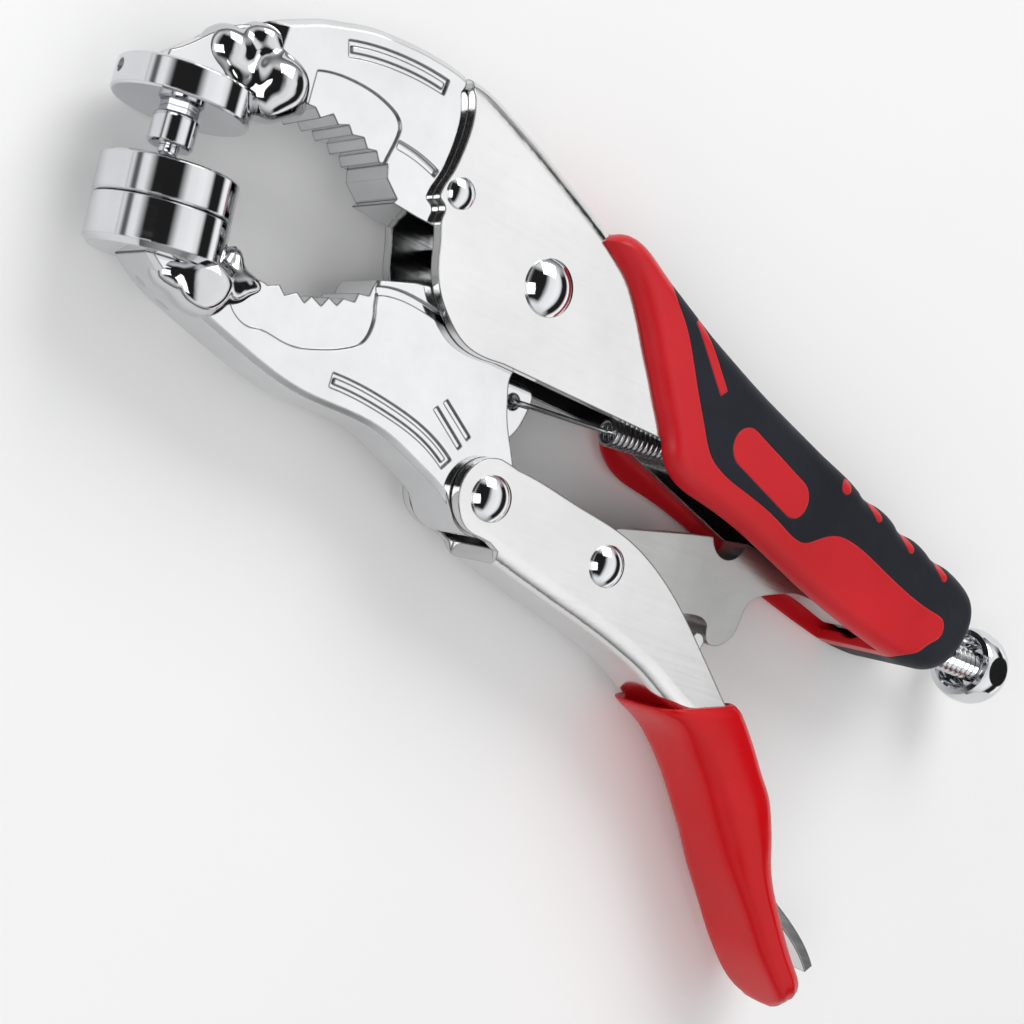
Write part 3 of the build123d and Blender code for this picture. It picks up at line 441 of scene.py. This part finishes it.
knuckle("forged_knuckle_upper", [
    ((-62.6, 10.5, 2.8), (4.7, 4.0, 3.9)), ((-58.3, 14.2, 3.4), (4.0, 2.8, 3.1)), ((-59.8, 7.6, 3.0), (3.7, 3.3, 3.5)),
    ((-54.5, 9.1, 3.8), (5.1, 5.1, 5.1)), ((-55.6, 7.2, 3.6), (4.4, 4.3, 4.4)), ((-52.2, 7.9, 3.4), (3.6, 2.3, 3.4)),
], "frame")
knuckle("forged_knuckle_lower", [
    ((-56.0, -22.4, 4.2), (5.0, 4.7, 4.9)), ((-60.2, -22.4, 3.5), (3.6, 2.7, 3.4)), ((-52.0, -20.8, 3.6), (3.8, 3.2, 3.8)),
    ((-51.9, -17.6, 2.9), (1.9, 3.1, 3.0)), ((-49.6, -19.3, 3.4), (3.4, 1.9, 3.3)),
], "lower_jaw", dent=(-56.4, -22.0, 3.6, 1.1))

# ------------------------------------------------------------------ tension spring
E, SP = Vector((4.7, -18.3, 0)), Vector((60.0, -12.6, 0))
ax = (SP - E).normalized()
side = Vector((-ax.y, ax.x, 0))
c0, c1 = E + ax * 22.4, E + ax * 50.0            # ends of the coil
COIL_R, WIRE_R, TURNS = 2.1, 0.46, 23
pts = []
# hook through the eye of the tab, then up and along to the coil
hook = [E + ax * 1.55 + Vector((0, 0, -2.3)) , E + ax * 0.4 + Vector((0, 0, -2.35)), E - ax * 0.35 + Vector((0, 0, -1.7)), E - ax * 0.45, E - ax * 0.3 + Vector((0, 0, 1.6)),
        E + ax * 0.7 + Vector((0, 0, 2.35)), E + ax * 2.6 + Vector((0, 0, 2.45)), E + ax * 10.0 + Vector((0, 0, 1.6)), E + ax * 18.5 + Vector((0, 0, 0.9)),
        E + ax * 21.2 + Vector((0, 0, 1.1))]
coil = []
for k in range(TURNS * 20 + 1):
    a = 2 * pi * k / 20
    p = c0.lerp(c1, k / (TURNS * 20))
    coil.append(p + Vector((0, 0, 1)) * (COIL_R * cos(a)) + side * (COIL_R * sin(a)))
tail = [c1 + ax * 1.4 + Vector((0, 0, 1.0)), c1 + ax * 5.5 + Vector((0, 0, 0.2)), SP + ax * 1.2 + side * 1.4, SP + ax * 2.3, SP + ax * 1.0 - side * 2.0, SP - ax * 1.6 - side * 1.7]
lead = catmull(hook + [coil[0]], 90)
path = [P(*p) for p in lead[:-1]] + [P(*p) for p in coil] + [P(*p) for p in catmull([coil[-1]] + tail, 50)[1:]]
spring = tube("tension_spring_coil", path, WIRE_R / 1000, MAT_SPRING, 10)
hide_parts("tension_spring")
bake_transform(spring)

# ------------------------------------------------------------------ dipped sleeve
sl_top = [(70.6, -54.4), (73.6, -56.6), (77.8, -60.5), (81.9, -64.8), (86.4, -69.4), (89.9, -76.0), (93.1, -83.6), (98.1, -90.4), (103.9, -97.0), (108.9, -102.0), (111.2, -105.0)]
sl_bot = [(51.6, -59.9), (53.6, -60.5), (57.2, -61.7), (61.1, -63.7), (65.6, -67.2), (70.5, -71.7), (75.8, -77.5), (83.3, -85.5), (90.7, -92.9), (96.6, -99.0), (102.4, -104.0), (107.4, -108.2)]
NS = 64
top = catmull([(*p, 0) for p in sl_top], NS)
bot = catmull([(*p, 0) for p in sl_bot], NS)


def sleeve_section(b, t, zw, gap, wall, lip, close):
    """Closed loop of a thick, soft-cornered U: b and t are the spine and mouth points, zw the half width."""
    h = t - b
    H = h.length
    e = h / H
    rb = min(6.2, zw * 0.62, H * 0.45)
    rt = min(2.6, H * 0.24)
    loop = []

    def put(z, q):
        loop.append(b + e * q + Vector((0, 0, z)))
    # outside, from the mouth edge at +z round the spine to the mouth edge at -z
    half = []
    half.append((gap, H - 0.9))
    half.append((gap + 0.25, H - 0.35))
    half.append((gap + 0.9, H - 0.02))
    for k in range(5):
        a = pi / 2 * k / 4
        half.append((zw - rt + rt * sin(a), H - rt + rt * cos(a)))
    for k in range(1, 5):
        f = k / 5
        half.append((zw + 0.3 * sin(pi * f), (H - rt) * (1 - f) + rb * f))
    for k in range(9):
        a = pi / 2 * k / 8
        half.append((zw - rb + rb * cos(a), rb - rb * sin(a)))
    half.append(((zw - rb) * 0.5, -0.12))
    for z, q in half:
        put(z, q)
    put(0, -0.15)
    for z, q in reversed(half):
        put(-z, q)
    # inside
    fl = min(wall, H * 0.55)
    inner = [(gap - 0.12, H - 1.8), (gap - 0.15, H * 0.6 + fl * 0.4), (gap - 0.2, fl + 1.4), (gap - 0.3, fl + 0.4), (gap * 0.8, fl)]
    inner = [(z, min(q, H - 1.2)) for z, q in inner]
    for z, q in inner:
        put(-max(z, 0.05), q)
    put(0, fl)
    for z, q in reversed(inner):
        put(max(z, 0.05), q)
    return loop


verts, faces, rings = [], [], []
stations = []
L_TIP = 6.5
for i in range(NS + 1):
    b, t = bot[i].copy(), top[i].copy()
    d = (top[NS] + bot[NS]) / 2 - (b + t) / 2
    rest = d.length
    zw = 9.15 - 0.15 * sin(pi * i / NS)
    gap = 5.85
    if rest < L_TIP:
        f = 1 - rest / L_TIP
        zw = zw - 4.6 * (1 - sqrt(max(0.0, 1 - f * f * 0.96)))
    if rest < 8.0:
        gap = 5.85 * max(0.03, 1 - ((8.0 - rest) / 8.0) ** 1.5)
    # rolled lip: the first stations swell outward on the spine side
    s = (bot[i] - bot[0]).length
    flare = 0.0
    if s < 4.5:
        flare = 1.0 - s / 4.5
    ax_dir = ((top[min(i + 1, NS)] + bot[min(i + 1, NS)]) - (top[max(i - 1, 0)] + bot[max(i - 1, 0)])).normalized()
    stations.append((b, t, zw, gap, flare, ax_dir))
for b, t, zw, gap, flare, ad in stations:
    e = (t - b).normalized()
    bead = 0.55 * max(0.0, 1 - abs(flare - 0.62) / 0.38) if flare > 0.24 else 0.0
    b2 = b - e * (0.25 * flare ** 2 + bead * 0.3) + e * 0.9 * flare ** 1.5
    t2 = t + e * bead * 0.3
    rings.append(sleeve_section(b2, t2, zw - 0.45 * flare ** 2 + bead * 0.35, gap, 4.0, flare, 0))
# mouth: turn the rim inwards to a small round edge
nloop = len(rings[0])
mouth_axis = stations[0][5]
ctr = (bot[0] + top[0]) / 2
pre = []
first = rings[0]
for k, (adv, shr) in enumerate(((0.15, 1.30), (0.45, 0.75), (0.35, 0.2))):
    pre.append([(p - mouth_axis * adv + (ctr - p) * (shr / max((ctr - p).length, 1e-6)) * (1 if j < 37 else 0)) for j, p in enumerate(first)])
rings = pre + rings
# tip: round the closed end over
last = rings[-1]
cT = (bot[NS] + top[NS]) / 2
tip_axis = stations[-1][5]
for adv, sc in ((0.65, 0.93), (1.2, 0.78), (1.6, 0.52), (1.75, 0.2)):
    rings.append([cT + tip_axis * adv + (p - cT) * sc for p in last])
for rg in rings:
    for p in rg:
        verts.append(P(*p))
for i in range(len(rings) - 1):
    for k in range(nloop):
        a, b_ = i * nloop + k, i * nloop + (k + 1) % nloop
        faces.append((a, b_, b_ + nloop, a + nloop))
faces.append(tuple(range(nloop))[::-1])
faces.append(tuple(range((len(rings) - 1) * nloop, len(rings) * nloop)))
sleeve = add_mesh("dipped_sleeve", verts, faces, MAT_VINYL)
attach(sleeve, "lever")
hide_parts("lever_sleeve")

# ------------------------------------------------------------------ floor
fm = Mat("studio_floor")
fc = fm.coords()
fn = fm.noise(fc, 8, 3, 0.5)
fr_ = fm.ramp(fn, "Fac", [(0.3, (0.95, 0.95, 0.95)), (0.7, (0.97, 0.97, 0.97))])
fm.link(fr_, "Color", fm.b, "Base Color")
fm.b.inputs["Roughness"].default_value = 0.85
fm.b.inputs["Specular IOR Level"].default_value = 0.2
fl_v, fl_f = [], []
R = 3.0
ring_r = [0.0, 0.4, 0.9, 1.6, R]
for r in ring_r[1:]:
    for k in range(64):
        a = 2 * pi * k / 64
        fl_v.append((r * cos(a), r * sin(a), -0.0002 if r < R else -0.0002))
fl_f.append(tuple(range(64)))
for i in range(len(ring_r) - 2):
    for k in range(64):
        a, b_ = i * 64 + k, i * 64 + (k + 1) % 64
        fl_f.append((a, b_, b_ + 64, a + 64))
floor = add_mesh("floor", fl_v, fl_f, fm.m, smooth=False)
for p in floor.data.polygons:
    if p.normal.z < 0:
        p.flip()

# ------------------------------------------------------------------ world: soft boxes round the object
w = bpy.data.worlds.new("studio")
scene.world = w
w.use_nodes = True
nt = w.node_tree
nt.nodes.clear()
out = nt.nodes.new("ShaderNodeOutputWorld")
bg = nt.nodes.new("ShaderNodeBackground")
bgc = nt.nodes.new("ShaderNodeBackground")
mix = nt.nodes.new("ShaderNodeMixShader")
lp = nt.nodes.new("ShaderNodeLightPath")
tc = nt.nodes.new("ShaderNodeTexCoord")
sep = nt.nodes.new("ShaderNodeSeparateXYZ")
nt.links.new(tc.outputs["Generated"], sep.inputs[0])


def wm(op, a, b=None, val=None):
    nd = nt.nodes.new("ShaderNodeMath")
    nd.operation = op
    nt.links.new(a, nd.inputs[0])
    if b is not None:
        nt.links.new(b, nd.inputs[1])
    elif val is not None:
        nd.inputs[1].default_value = val
    return nd.outputs[0]


def wramp(src, stops):
    rp = nt.nodes.new("ShaderNodeValToRGB")
    e = rp.color_ramp.elements
    while len(e) < len(stops):
        e.new(0.5)
    for k, (p, v) in enumerate(stops):
        e[k].position = p
        e[k].color = (v, v, v, 1)
    nt.links.new(src, rp.inputs[0])
    return rp.outputs[0]


negx = wm("MULTIPLY", sep.outputs[0], val=-1.0)
alpha = wm("ARCTAN2", negx, sep.outputs[2])           # angle round Y: 0 overhead, + towards -X


def deg(a):
    return a / 360 + 0.5


a01 = wm("ADD", wm("DIVIDE", alpha, val=2 * pi), val=0.5)
HI, LO = 1.0, 0.015
ring_ = wramp(a01, [(deg(-180), 0.35), (deg(-93), 0.45), (deg(-86), HI), (deg(-78), HI), (deg(-71), LO), (deg(-52), LO), (deg(-45), 0.80), (deg(-34), 0.97), (deg(-8), 0.86), (deg(6), LO), (deg(46), LO),
                    (deg(60), 0.85), (deg(69), 0.8), (deg(74), 0.12), (deg(79), 0.12), (deg(85), 0.75), (deg(96), 0.40), (deg(180), 0.35)])
# towards the two ends of Y the box walls are an even soft grey-white
absy = wm("ABSOLUTE", sep.outputs[1])
endw = wramp(absy, [(0.0, 0.0), (0.62, 0.0), (0.80, 1.0), (1.0, 1.0)])
endc = wramp(sep.outputs[2], [(0.0, 0.10), (0.12, 0.22), (0.45, 0.75), (0.8, 0.95)])
mixw = nt.nodes.new("ShaderNodeMix")
mixw.data_type = "RGBA"
nt.links.new(endw, mixw.inputs[0])
nt.links.new(ring_, mixw.inputs[6])
nt.links.new(endc, mixw.inputs[7])
nt.links.new(mixw.outputs[2], bg.inputs["Color"])
bg.inputs["Strength"].default_value = 1.24
bgc.inputs["Color"].default_value = (0.95, 0.95, 0.95, 1)
bgc.inputs["Strength"].default_value = 1.0
nt.links.new(lp.outputs["Is Camera Ray"], mix.inputs[0])
nt.links.new(bg.outputs[0], mix.inputs[1])
nt.links.new(bgc.outputs[0], mix.inputs[2])
nt.links.new(mix.outputs[0], out.inputs[0])
w.cycles.sampling_method = "MANUAL"
w.cycles.sample_map_resolution = 512


def area(name, loc, target, size, power, col=(1, 1, 1)):
    ld = bpy.data.lights.new(name, "AREA")
    ld.shape = "RECTANGLE"
    ld.size, ld.size_y = size
    ld.energy = power
    ld.color = col
    lo_ = bpy.data.objects.new(name, ld)
    lo_.location = loc
    lo_.rotation_mode = "QUATERNION"
    lo_.rotation_quaternion = (Vector(target) - Vector(loc)).to_track_quat("-Z", "Y")
    scene.collection.objects.link(lo_)
    return lo_


area("key_box", (0.05, 1.2, 0.9), (0, 0, 0), (0.9, 0.9), 9.0)
area("left_box", (-0.9, -0.3, 0.9), (0, 0, 0), (0.7, 0.7), 4.0)
